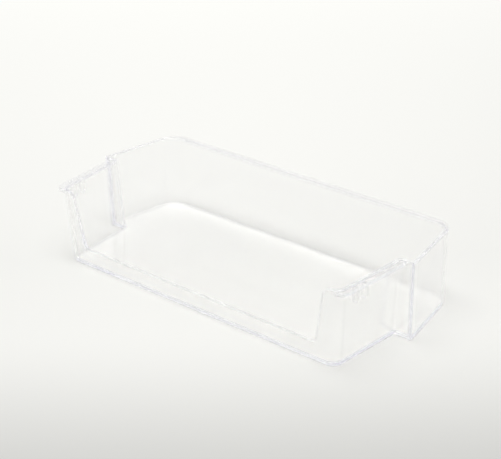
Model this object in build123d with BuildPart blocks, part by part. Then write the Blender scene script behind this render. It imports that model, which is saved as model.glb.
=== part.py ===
"""Refrigerator door bin: one clear injection-moulded tray with a wide front and a narrower rear.

The wide front stands clear of the door, and the narrow rear drops between the door's two side rails.
X runs along the width, +Y points to the tall retaining wall at the front, and +Z is up.
The origin is the middle of the bin's box, on the surface that the bin stands on.
"""

import os
from math import cos, radians, sin, tan

from build123d import *

# Overall sizes, in millimetres
overall_width = 330.0
height = 67.5
wide_depth = 77.2
narrow_depth = 70.8
wall = 2.6
floor_thickness = 2.6

# Plan of the walls at the top edge, with angles in degrees from the depth
step = 12.5
end_angle = 10.3
narrow_angle = 4.8

# Draft of the walls, in degrees from the vertical
front_draft = 0.5
wide_end_draft = 0.6
step_draft = 0.6
narrow_end_draft = 4.0
rear_draft = 2.0

# Rounded corners on the inside of the walls, which the outside follows at the wall's distance
inside_front_corner = 14.4
inside_rear_corner = 7.4

# Rounded corners with a radius of their own inside and outside, and the neck's on the outside
inside_step_corner = 1.2
inside_bottom_corner = 1.0
step_corner = 1.2
bottom_corner = 1.0
neck_corner = 1.0
edge_softening = 0.4

# Rim that stands out round the top of the front wall and of the two narrow end walls
front_rim = 2.7
end_rim = 4.9
rim_thickness = 2.7
front_rim_corner = 19.0
rear_rim_corner = 6.0

# Opening in the rear wall, with a return left standing at each side
lip_height = 16.4
return_top = 13.7
return_foot = 22.9
return_shoulder = 7.0
lip_corner = 5.0

# Saddle under each narrow rim: two ribs that straddle a boss of the door
saddle_from_rear = 16.4
saddle_gap = 7.5
saddle_rib = 2.0
saddle_drop = 13.5
rib_setback = 0.5
rib_toe = 2.0

# Sine and cosine that tell upright faces and edges from level ones, and the axis that a wall faces
upright_limit = 0.5
facing_limit = 0.7

# Places that follow from the sizes
rear_y = -(wide_depth + narrow_depth) / 2
step_y = rear_y + narrow_depth
front_y = step_y + wide_depth
wall_front_y = front_y - front_rim
step_corner_loss = step_corner * (tan(radians(end_angle)) + 1 / cos(radians(end_angle)) - 1)
wide_x = overall_width / 2 + step_corner_loss
neck_x = wide_x - step
rim_plane = Plane.XY.offset(height)


def wide_end_x(y):
    """Half width of the wide part at a distance from the door, at the top edge."""
    return wide_x - (y - step_y) * tan(radians(end_angle))


def narrow_end_x(y):
    """Half width of the narrow part at a distance from the door, at the top edge."""
    return neck_x - (step_y - y) * tan(radians(narrow_angle))


def t_plan(front_edge, end_stand_out):
    """The T-shaped plan, with its front edge and its narrow ends moved out by a rim."""
    right_side = [
        (narrow_end_x(rear_y) + end_stand_out, rear_y),
        (neck_x + end_stand_out, step_y),
        (wide_x, step_y),
        (wide_end_x(front_edge), front_edge),
    ]
    left_side = [(-x, y) for x, y in reversed(right_side)]
    with BuildSketch() as plan:
        with BuildLine():
            Polyline(*right_side, *left_side, close=True)
        make_face()
    return plan.sketch


def wall_faces(block, axis, behind_step):
    """Upright faces that face along an axis, behind the step or ahead of it, from rear to front."""
    upright = block.faces().filter_by(lambda face: abs(face.normal_at().Z) < upright_limit)
    facing = upright.filter_by(lambda face: abs(face.normal_at().dot(axis.direction)) > facing_limit)
    return facing.filter_by(lambda face: (face.center().Y < step_y - wall) == behind_step).sort_by(Axis.Y)


def corner_edges(block, corner):
    """The upright edge that comes down from a corner of the plan, and its mirror image."""
    upright = block.edges().filter_by(lambda edge: abs(edge.tangent_at(0.5).Z) > upright_limit)

    def distance(edge):
        top_end = edge.vertices().sort_by(Axis.Z)[-1]
        return abs(abs(top_end.X) - corner.X) + abs(top_end.Y - corner.Y)

    return upright.sort_by(distance)[:2]


def drafted_block(plan, bottom, narrow_draft, rear_radius, neck_radius, step_radius, front_radius):
    """A block below a plan at the rim, drawn in downwards by each wall's draft, with its corners rounded."""
    right_hand = plan.vertices().filter_by(lambda vertex: vertex.X > 0)
    corners = [vertex for row in right_hand.group_by(Axis.Y) for vertex in row.sort_by(Axis.X)]
    with BuildPart() as block:
        with BuildSketch(rim_plane):
            add(plan)
        extrude(amount=bottom - height)
        draft(wall_faces(block, Axis.X, True), rim_plane, -narrow_draft)
        draft(wall_faces(block, Axis.X, False), rim_plane, -wide_end_draft)
        draft(wall_faces(block, Axis.Y, True), rim_plane, -rear_draft)
        draft(wall_faces(block, Axis.Y, False)[:-1], rim_plane, -step_draft)
        draft(wall_faces(block, Axis.Y, False)[-1], rim_plane, -front_draft)
        for corner, radius in zip(corners, (rear_radius, neck_radius, step_radius, front_radius)):
            fillet(corner_edges(block, corner), radius)
    return block.part


def border(faces):
    """Edges that bound a run of faces that join one another."""
    edges = faces.edges()
    return [edge for edge in edges if sum(edge.is_same(other) for other in edges) == 1]


# The walls and the floor, as one filled block
outer_block = drafted_block(
    t_plan(wall_front_y, 0),
    0,
    narrow_end_draft,
    rear_radius=inside_rear_corner + wall,
    neck_radius=neck_corner,
    step_radius=step_corner,
    front_radius=inside_front_corner + wall,
)
with BuildPart() as skin:
    add(outer_block)
    fillet(skin.edges().group_by(Axis.Z)[0], min(bottom_corner, step_corner))

# The space inside the walls
with BuildSketch() as inside_plan:
    add(t_plan(wall_front_y, 0))
    offset(amount=-wall, kind=Kind.INTERSECTION)
inner_block = drafted_block(
    inside_plan.sketch,
    floor_thickness,
    narrow_end_draft,
    rear_radius=inside_rear_corner,
    neck_radius=neck_corner + wall,
    step_radius=inside_step_corner,
    front_radius=inside_front_corner,
)
with BuildPart() as inside:
    add(inner_block)
    fillet(inside.edges().group_by(Axis.Z)[0], min(inside_bottom_corner, inside_step_corner))

# The rim, still filled
rim_block = drafted_block(
    t_plan(front_y, end_rim),
    height - rim_thickness,
    wide_end_draft,
    rear_radius=rear_rim_corner,
    neck_radius=neck_corner,
    step_radius=step_corner,
    front_radius=front_rim_corner,
)

# The two ribs of the saddle under the right-hand rim
with BuildPart() as saddle:
    outward = (cos(radians(narrow_angle)), -sin(radians(narrow_angle)), 0)
    along_wall = (sin(radians(narrow_angle)), cos(radians(narrow_angle)), 0)
    rib_reach = end_rim * cos(radians(narrow_angle)) - rib_setback
    rib_root = -wall / 2
    rib_head = rim_thickness / 2
    rib_lean = tan(radians(narrow_end_draft))
    for rib_y in (
        rear_y + saddle_from_rear,
        rear_y + saddle_from_rear + saddle_rib + saddle_gap,
    ):
        rib_top = (narrow_end_x(rib_y), rib_y, height)
        with BuildSketch(Plane(origin=rib_top, x_dir=outward, z_dir=along_wall)) as rib:
            with BuildLine():
                Polyline(
                    (rib_root - rib_lean * rib_head, rib_head),
                    (rib_reach, rib_head),
                    (rib_reach, saddle_drop),
                    (rib_root - rib_lean * saddle_drop, saddle_drop),
                    close=True,
                )
            make_face()
            fillet(rib.vertices().group_by(Axis.Y)[-1].sort_by(Axis.X)[-1], rib_toe)
        extrude(amount=saddle_rib)

# The bin: walls, rim and saddles, hollowed out and opened at the rear, with the upper edges softened
with BuildPart() as door_bin:
    add(skin.part)
    add(rim_block)
    add(saddle.part)
    mirror(saddle.part, about=Plane.YZ)
    add(inside.part, mode=Mode.SUBTRACT)
    with BuildSketch(Plane.XZ.offset(-rear_y + wall)) as opening:
        top_x = narrow_end_x(rear_y) - return_top
        foot_x = narrow_end_x(rear_y) - return_foot
        with BuildLine():
            Polyline(
                (-foot_x, lip_height),
                (foot_x, lip_height),
                (top_x, height),
                (neck_x, height),
                (neck_x, height + rim_thickness),
                (-neck_x, height + rim_thickness),
                (-neck_x, height),
                (-top_x, height),
                close=True,
            )
        make_face()
        at_top_edge = opening.vertices().group_by(Axis.Y)[1]
        fillet(at_top_edge.sort_by(lambda vertex: abs(vertex.X))[:2], return_shoulder)
        fillet(opening.vertices().group_by(Axis.Y)[0], lip_corner)
    extrude(amount=-(2 * wall + inside_rear_corner), mode=Mode.SUBTRACT)
    upper_faces = door_bin.faces().filter_by(
        lambda face: face.center().Y < rear_y + wall + height * tan(radians(rear_draft))
        and abs(face.center().X) < top_x + return_shoulder
        and abs(face.normal_at().Y) < upright_limit
    )
    upper_faces.append(door_bin.faces().sort_by(Axis.Z)[-1])
    fillet(border(upper_faces), edge_softening)

door_bin.part.label = "door_bin"
os.makedirs("parts", exist_ok=True)
export_step(door_bin.part, "parts/door_bin.step")
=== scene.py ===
"""A clear refrigerator door bin on a pale studio floor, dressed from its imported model."""

import math

import bpy
from mathutils import Matrix, Vector


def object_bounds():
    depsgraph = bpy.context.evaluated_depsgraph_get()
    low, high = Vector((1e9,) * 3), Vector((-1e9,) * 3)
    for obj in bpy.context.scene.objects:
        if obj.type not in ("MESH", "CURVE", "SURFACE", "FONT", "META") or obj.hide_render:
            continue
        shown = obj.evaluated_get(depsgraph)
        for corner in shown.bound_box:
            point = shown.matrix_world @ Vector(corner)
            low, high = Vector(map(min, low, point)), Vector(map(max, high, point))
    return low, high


bl_info = {
    "name": "Clear Door Bin",
    "version": (1, 0, 0),
    "blender": (4, 5, 0),
    "location": "View3D > Sidebar > Door Bin",
    "description": "Dresses a moulded refrigerator door bin in clear plastic and sets its studio",
    "category": "Object",
}

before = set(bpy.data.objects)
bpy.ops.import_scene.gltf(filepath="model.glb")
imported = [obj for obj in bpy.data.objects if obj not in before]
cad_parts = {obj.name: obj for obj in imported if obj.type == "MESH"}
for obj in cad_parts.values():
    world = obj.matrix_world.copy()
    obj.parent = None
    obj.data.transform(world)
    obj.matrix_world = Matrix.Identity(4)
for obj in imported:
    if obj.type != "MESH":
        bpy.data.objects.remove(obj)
CAD_LOW, CAD_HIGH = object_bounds()

BIN_NODE = "door_bin"
BIN_SLOT = "clear_plastic"
WHITE = (1.0, 1.0, 1.0)

# Photograph's width in pixels, sensor's width in millimetres and the camera's nearest distance in metres
PHOTO_WIDTH = 501
SENSOR_WIDTH = 36.0
CLIP_START = 0.01

# Light takes many turns in the clear walls, and a wide filter softens their edges
LIGHT_BOUNCES = 256
FILTER_WIDTH = 3.0

# Detail of the noise in the soft waves, and the part of its range that they spread out
WAVE_DETAIL = 2.0
WAVE_SPREAD = (0.3, 0.7)

# Points round the floor's edge, length of the waves in its dullness and the roughness at their ends
FLOOR_POINTS = 96
FLOOR_WAVE = 0.3
FLOOR_DULLNESS = (0.85, 0.95)

# Places along the line of sight, from the bin, between which the floor leaves its painted shade and gains
# its painted glow
NEAR_REACH = (-0.34, -0.08)
FAR_REACH = (0.04, 0.80)

# Rise above the horizon at which the room's tint has faded to white
HORIZON_RISE = 0.5

# Number of matt bounces under which the room and the lamp count as seen, and not as light on something matt
SEEN_BOUNCES = 0.5


class ClearPlasticSettings(bpy.types.PropertyGroup):
    """The clear moulded plastic."""

    tint: bpy.props.FloatVectorProperty(
        name="Tint",
        description="Colour of the plastic's surface",
        default=(0.98, 0.98, 0.98),
        size=3,
        min=0.0,
        max=1.0,
        subtype="COLOR",
    )
    depth_tint: bpy.props.FloatVectorProperty(
        name="Depth Tint",
        description="Colour that light takes on along a long way through the plastic",
        default=(0.72, 0.71, 0.86),
        size=3,
        min=0.0,
        max=1.0,
        subtype="COLOR",
    )
    depth_density: bpy.props.FloatProperty(
        name="Depth Density",
        description="How fast the plastic takes on its depth tint, for each metre",
        default=1.0,
        min=0.0,
    )
    refraction: bpy.props.FloatProperty(
        name="Refractive Index",
        description="Refractive index of the plastic",
        default=1.57,
        min=1.0,
        max=2.5,
    )
    polish_low: bpy.props.FloatProperty(
        name="Polished Roughness",
        description="Roughness where the mould was polished best",
        default=0.10,
        min=0.0,
        max=1.0,
        subtype="FACTOR",
    )
    polish_high: bpy.props.FloatProperty(
        name="Dull Roughness",
        description="Roughness where the mould was polished least",
        default=0.14,
        min=0.0,
        max=1.0,
        subtype="FACTOR",
    )
    flow_size: bpy.props.FloatProperty(
        name="Flow Size",
        description="Length of the soft waves that the plastic's flow leaves on the surface",
        default=0.06,
        min=0.001,
        unit="LENGTH",
    )
    flow_height: bpy.props.FloatProperty(
        name="Flow Height",
        description="Height of the soft waves that the plastic's flow leaves on the surface",
        default=0.00001,
        min=0.0,
        unit="LENGTH",
    )


class StudioSettings(bpy.types.PropertyGroup):
    """The floor, the light and the camera."""

    floor_colour: bpy.props.FloatVectorProperty(
        name="Floor Colour",
        description="Colour of the pale floor",
        default=(0.945, 0.945, 0.905),
        size=3,
        min=0.0,
        max=1.0,
        subtype="COLOR",
    )
    floor_radius: bpy.props.FloatProperty(
        name="Floor Radius",
        description="Distance from the bin to the floor's edge",
        default=6.0,
        min=0.5,
        unit="LENGTH",
    )
    floor_drop: bpy.props.FloatProperty(
        name="Floor Drop",
        description="Film of air between the bin's underside and the floor",
        default=0.0002,
        min=0.0,
        unit="LENGTH",
    )
    # Painted shade: share of the floor's colour left at its near end, darkening it towards the camera
    painted_near_shade: bpy.props.FloatProperty(
        name="Near Shade",
        description="Share of the floor's colour that is left at its near end",
        default=0.67,
        min=0.0,
        max=1.0,
        subtype="FACTOR",
    )
    # Painted glow: light that the floor gives off towards its far end, seen straight, mirrored or through
    # the plastic but lighting nothing matt
    painted_far_glow: bpy.props.FloatProperty(
        name="Far Glow",
        description="How much whiter the far end of the floor is seen than the lamp lights it",
        default=0.30,
        min=0.0,
        max=1.0,
        subtype="FACTOR",
    )
    sky_level: bpy.props.FloatProperty(
        name="Sky Level",
        description="Brightness with which the room lights the floor",
        default=0.635,
        min=0.0,
    )
    seen_level: bpy.props.FloatProperty(
        name="Seen Level",
        description="Brightness of the room as it is seen in the plastic, where 1 is white",
        default=0.88,
        min=0.0,
        max=1.0,
        subtype="FACTOR",
    )
    horizon_colour: bpy.props.FloatVectorProperty(
        name="Horizon Colour",
        description="Colour of the room at the level of the bin",
        default=(0.84, 0.83, 1.0),
        size=3,
        min=0.0,
        max=1.0,
        subtype="COLOR",
    )
    softbox_size: bpy.props.FloatVectorProperty(
        name="Softbox Size",
        description="Width and depth of the softbox over the bin",
        default=(0.8, 0.35),
        size=2,
        min=0.1,
        unit="LENGTH",
    )
    softbox_place: bpy.props.FloatVectorProperty(
        name="Softbox Place",
        description="Middle of the softbox over the bin",
        default=(0.05, -0.08, 1.0),
        size=3,
        subtype="XYZ",
        unit="LENGTH",
    )
    softbox_power: bpy.props.FloatProperty(
        name="Softbox Power",
        description="Power of the softbox",
        default=4.0,
        min=0.0,
        unit="POWER",
    )
    azimuth: bpy.props.FloatProperty(
        name="Azimuth",
        description="Turn of the camera round the bin, from a view along its depth",
        default=0.707,
        subtype="ANGLE",
    )
    elevation: bpy.props.FloatProperty(
        name="Elevation",
        description="Height of the camera above the horizon",
        default=0.463,
        subtype="ANGLE",
    )
    roll: bpy.props.FloatProperty(
        name="Roll",
        description="Turn of the camera about its line of sight",
        default=-0.018,
        subtype="ANGLE",
    )
    distance: bpy.props.FloatProperty(
        name="Distance",
        description="Distance from the camera to the point it looks at",
        default=1.163,
        min=0.1,
        unit="LENGTH",
    )
    target: bpy.props.FloatVectorProperty(
        name="Target",
        description="Point that the camera looks at",
        default=(-0.0101, 0.0130, 0.0366),
        size=3,
        subtype="XYZ",
        unit="LENGTH",
    )
    focal_pixels: bpy.props.FloatProperty(
        name="Focal Length",
        description="Focal length of the camera in pixels of the picture's width",
        default=1380.0,
        min=1.0,
    )


def new_material(name):
    """An empty node material."""
    material = bpy.data.materials.new(name)
    material.use_nodes = True
    material.node_tree.nodes.clear()
    return material


def soft_waves_group():
    """Slow waves over a surface, as a value that goes up and down between a low and a high one."""
    name = "soft_waves"
    if name in bpy.data.node_groups:
        return bpy.data.node_groups[name]
    group = bpy.data.node_groups.new(name, "ShaderNodeTree")
    group.interface.new_socket("Wave Length", in_out="INPUT", socket_type="NodeSocketFloat")
    group.interface.new_socket("Low", in_out="INPUT", socket_type="NodeSocketFloat")
    group.interface.new_socket("High", in_out="INPUT", socket_type="NodeSocketFloat")
    group.interface.new_socket("Value", in_out="OUTPUT", socket_type="NodeSocketFloat")
    nodes, links = group.nodes, group.links
    given = nodes.new("NodeGroupInput")
    made = nodes.new("NodeGroupOutput")
    place = nodes.new("ShaderNodeTexCoord")
    pitch = nodes.new("ShaderNodeMath")
    pitch.operation = "DIVIDE"
    pitch.inputs[0].default_value = 1.0
    noise = nodes.new("ShaderNodeTexNoise")
    noise.inputs["Detail"].default_value = WAVE_DETAIL
    spread = nodes.new("ShaderNodeMapRange")
    spread.inputs["From Min"].default_value, spread.inputs["From Max"].default_value = WAVE_SPREAD
    links.new(given.outputs["Wave Length"], pitch.inputs[1])
    links.new(place.outputs["Object"], noise.inputs["Vector"])
    links.new(pitch.outputs[0], noise.inputs["Scale"])
    links.new(noise.outputs[0], spread.inputs["Value"])
    links.new(given.outputs["Low"], spread.inputs["To Min"])
    links.new(given.outputs["High"], spread.inputs["To Max"])
    links.new(spread.outputs[0], made.inputs["Value"])
    return group


def add_waves(material, wave_length, low, high):
    """Places the soft waves in a material, between two values."""
    waves = material.node_tree.nodes.new("ShaderNodeGroup")
    waves.node_tree = soft_waves_group()
    waves.inputs["Wave Length"].default_value = wave_length
    waves.inputs["Low"].default_value = low
    waves.inputs["High"].default_value = high
    return waves


def clear_plastic(settings):
    """Clear polished plastic that takes on a faint tint along a long way through it."""
    material = new_material(BIN_SLOT)
    nodes, links = material.node_tree.nodes, material.node_tree.links
    output = nodes.new("ShaderNodeOutputMaterial")
    surface = nodes.new("ShaderNodeBsdfPrincipled")
    surface.inputs["Base Color"].default_value = (*settings.tint, 1.0)
    surface.inputs["IOR"].default_value = settings.refraction
    surface.inputs["Transmission Weight"].default_value = 1.0
    polish = add_waves(material, settings.flow_size, settings.polish_low, settings.polish_high)
    flow = add_waves(material, settings.flow_size, 0.0, settings.flow_height)
    bump = nodes.new("ShaderNodeBump")
    bump.inputs["Strength"].default_value = 1.0
    bump.inputs["Distance"].default_value = 1.0
    depth = nodes.new("ShaderNodeVolumeAbsorption")
    depth.inputs["Color"].default_value = (*settings.depth_tint, 1.0)
    depth.inputs["Density"].default_value = settings.depth_density
    links.new(polish.outputs["Value"], surface.inputs["Roughness"])
    links.new(flow.outputs["Value"], bump.inputs["Height"])
    links.new(bump.outputs["Normal"], surface.inputs["Normal"])
    links.new(surface.outputs["BSDF"], output.inputs["Surface"])
    links.new(depth.outputs["Volume"], output.inputs["Volume"])
    return material


def maths(tree, operation, *values):
    """The result of a calculation with sockets and numbers."""
    node = tree.nodes.new("ShaderNodeMath")
    node.operation = operation
    for socket, value in zip(node.inputs, values):
        if isinstance(value, bpy.types.NodeSocket):
            tree.links.new(value, socket)
        else:
            socket.default_value = value
    return node.outputs[0]


def blend(tree, value, low, high, at_low, at_high, shape="LINEAR"):
    """Goes from one number to another while a value goes from low to high."""
    node = tree.nodes.new("ShaderNodeMapRange")
    node.interpolation_type = shape
    tree.links.new(value, node.inputs["Value"])
    node.inputs["From Min"].default_value = low
    node.inputs["From Max"].default_value = high
    node.inputs["To Min"].default_value = at_low
    node.inputs["To Max"].default_value = at_high
    return node.outputs[0]


def mix_colours(tree, share, first, second):
    """Goes from one colour to another by a share."""
    node = tree.nodes.new("ShaderNodeMix")
    node.data_type = "RGBA"
    tree.links.new(share, node.inputs["Factor"])
    colours = [socket for socket in node.inputs if socket.type == "RGBA"]
    colours[0].default_value = (*first, 1.0)
    colours[1].default_value = (*second, 1.0)
    return [socket for socket in node.outputs if socket.type == "RGBA"][0]


def seen_mask(tree):
    """1 where the camera sees a place straight, mirrored or through the plastic, and otherwise 0."""
    path = tree.nodes.new("ShaderNodeLightPath")
    seen = maths(tree, "MAXIMUM", path.outputs["Is Camera Ray"], path.outputs["Is Glossy Ray"])
    seen = maths(tree, "MAXIMUM", seen, path.outputs["Is Transmission Ray"])
    straight = maths(tree, "LESS_THAN", path.outputs["Diffuse Depth"], SEEN_BOUNCES)
    return maths(tree, "MULTIPLY", seen, straight)


def pale_floor(settings):
    """Matt pale floor, with painted shade in its colour at its near end and a painted glow that makes its
    far end whiter where it is seen.
    """
    material = new_material("pale_floor")
    tree = material.node_tree
    nodes, links = tree.nodes, tree.links
    output = nodes.new("ShaderNodeOutputMaterial")
    surface = nodes.new("ShaderNodeBsdfPrincipled")
    surface.inputs["Specular IOR Level"].default_value = 0.0
    surface.inputs["Emission Color"].default_value = (*settings.floor_colour, 1.0)
    place = nodes.new("ShaderNodeTexCoord")
    ahead = nodes.new("ShaderNodeVectorMath")
    ahead.operation = "DOT_PRODUCT"
    ahead.inputs[1].default_value = (-math.sin(settings.azimuth), math.cos(settings.azimuth), 0.0)
    links.new(place.outputs["Object"], ahead.inputs[0])
    # Painted shade: the floor's colour is darkened towards its near end, along the line of sight
    shade = [part * settings.painted_near_shade for part in settings.floor_colour]
    out_of_painted_shade = blend(tree, ahead.outputs["Value"], *NEAR_REACH, 0.0, 1.0, "SMOOTHSTEP")
    links.new(mix_colours(tree, out_of_painted_shade, shade, settings.floor_colour), surface.inputs["Base Color"])
    # Painted glow: the floor's far end gives off its own colour as light wherever it is seen
    glow = blend(tree, ahead.outputs["Value"], *FAR_REACH, 0.0, settings.painted_far_glow)
    links.new(maths(tree, "MULTIPLY", glow, seen_mask(tree)), surface.inputs["Emission Strength"])
    dullness = add_waves(material, FLOOR_WAVE, *FLOOR_DULLNESS)
    links.new(dullness.outputs["Value"], surface.inputs["Roughness"])
    links.new(surface.outputs["BSDF"], output.inputs["Surface"])
    return material


class DOORBIN_OT_dress_bin(bpy.types.Operator):
    """Gives the bin its clear plastic"""

    bl_idname = "doorbin.dress_bin"
    bl_label = "Dress Bin"

    def execute(self, context):
        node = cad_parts.get(BIN_NODE)
        if node is None:
            raise RuntimeError(f"the frame has no node named {BIN_NODE}")
        node.data.materials.clear()
        node.data.materials.append(clear_plastic(context.scene.door_bin_plastic))
        return {"FINISHED"}


def camera_axes(settings):
    """Right, up and back of the camera, turned round the bin and rolled about its line of sight."""
    back = Vector(
        (
            math.sin(settings.azimuth) * math.cos(settings.elevation),
            -math.cos(settings.azimuth) * math.cos(settings.elevation),
            math.sin(settings.elevation),
        )
    )
    level = Vector((0.0, 0.0, 1.0)).cross(back).normalized()
    rise = back.cross(level)
    right = level * math.cos(settings.roll) + rise * math.sin(settings.roll)
    up = rise * math.cos(settings.roll) - level * math.sin(settings.roll)
    return right, up, back


def add_floor(scene, settings):
    """A round pale floor just under the bin."""
    height = CAD_LOW.z - settings.floor_drop
    ring = [
        (
            settings.floor_radius * math.cos(math.tau * i / FLOOR_POINTS),
            settings.floor_radius * math.sin(math.tau * i / FLOOR_POINTS),
            height,
        )
        for i in range(FLOOR_POINTS)
    ]
    mesh = bpy.data.meshes.new("studio_floor")
    mesh.from_pydata(ring, [], [range(FLOOR_POINTS)])
    mesh.materials.append(pale_floor(settings))
    floor = bpy.data.objects.new("studio_floor", mesh)
    scene.collection.objects.link(floor)


def add_softbox(scene, settings):
    """One softbox over the bin, seen in the plastic as bright as the room."""
    light = bpy.data.lights.new("softbox", "AREA")
    light.shape = "RECTANGLE"
    light.size, light.size_y = settings.softbox_size
    light.energy = settings.softbox_power
    light.use_nodes = True
    tree = light.node_tree
    radiance = settings.softbox_power / (math.pi * math.prod(settings.softbox_size))
    share = blend(tree, seen_mask(tree), 0.0, 1.0, 1.0, settings.seen_level / radiance)
    tree.links.new(share, tree.nodes["Emission"].inputs["Strength"])
    lamp = bpy.data.objects.new("softbox", light)
    lamp.location = settings.softbox_place
    scene.collection.objects.link(lamp)


def set_sky(scene, settings):
    """A pale room round the bin, with a faint tint at the level of the bin."""
    world = bpy.data.worlds.new("pale_room")
    world.use_nodes = True
    tree = world.node_tree
    background = tree.nodes["Background"]
    direction = tree.nodes.new("ShaderNodeTexCoord")
    parts = tree.nodes.new("ShaderNodeSeparateXYZ")
    tree.links.new(direction.outputs["Generated"], parts.inputs[0])
    rise = blend(tree, parts.outputs["Z"], 0.0, HORIZON_RISE, 0.0, 1.0)
    tint = mix_colours(tree, rise, settings.horizon_colour, WHITE)
    tree.links.new(tint, background.inputs["Color"])
    level = blend(tree, seen_mask(tree), 0.0, 1.0, settings.sky_level, settings.seen_level)
    tree.links.new(level, background.inputs["Strength"])
    scene.world = world


def add_camera(scene, settings):
    """The camera at the photograph's place and focal length."""
    data = bpy.data.cameras.new("camera")
    data.sensor_width = SENSOR_WIDTH
    data.lens = settings.focal_pixels * SENSOR_WIDTH / PHOTO_WIDTH
    data.clip_start = CLIP_START
    right, up, back = camera_axes(settings)
    camera = bpy.data.objects.new("camera", data)
    turn = Matrix((right, up, back)).transposed().to_4x4()
    camera.matrix_world = Matrix.Translation(Vector(settings.target) + back * settings.distance) @ turn
    scene.collection.objects.link(camera)
    scene.camera = camera


class DOORBIN_OT_set_stage(bpy.types.Operator):
    """Sets the floor, the light and the camera"""

    bl_idname = "doorbin.set_stage"
    bl_label = "Set Stage"

    def execute(self, context):
        scene = context.scene
        settings = scene.door_bin_studio
        add_floor(scene, settings)
        add_softbox(scene, settings)
        set_sky(scene, settings)
        add_camera(scene, settings)
        scene.view_settings.view_transform = "Standard"
        scene.cycles.blur_glossy = 0.0
        scene.cycles.filter_width = FILTER_WIDTH
        scene.cycles.max_bounces = LIGHT_BOUNCES
        scene.cycles.glossy_bounces = LIGHT_BOUNCES
        scene.cycles.transmission_bounces = LIGHT_BOUNCES
        return {"FINISHED"}


class DOORBIN_PT_panel(bpy.types.Panel):
    """Lists the bin's settings and steps"""

    bl_idname = "DOORBIN_PT_panel"
    bl_label = "Door Bin"
    bl_space_type = "VIEW_3D"
    bl_region_type = "UI"
    bl_category = "Door Bin"

    def draw(self, context):
        for operator, settings in (
            (DOORBIN_OT_dress_bin, context.scene.door_bin_plastic),
            (DOORBIN_OT_set_stage, context.scene.door_bin_studio),
        ):
            box = self.layout.box()
            box.operator(operator.bl_idname)
            for name in settings.__annotations__:
                box.prop(settings, name)


CLASSES = (
    ClearPlasticSettings,
    StudioSettings,
    DOORBIN_OT_dress_bin,
    DOORBIN_OT_set_stage,
    DOORBIN_PT_panel,
)


def register():
    for cls in CLASSES:
        bpy.utils.register_class(cls)
    bpy.types.Scene.door_bin_plastic = bpy.props.PointerProperty(type=ClearPlasticSettings)
    bpy.types.Scene.door_bin_studio = bpy.props.PointerProperty(type=StudioSettings)


def unregister():
    del bpy.types.Scene.door_bin_studio
    del bpy.types.Scene.door_bin_plastic
    for cls in reversed(CLASSES):
        bpy.utils.unregister_class(cls)


def main():
    register()
    bpy.ops.doorbin.dress_bin()
    bpy.ops.doorbin.set_stage()


if __name__ == "__main__":
    main()
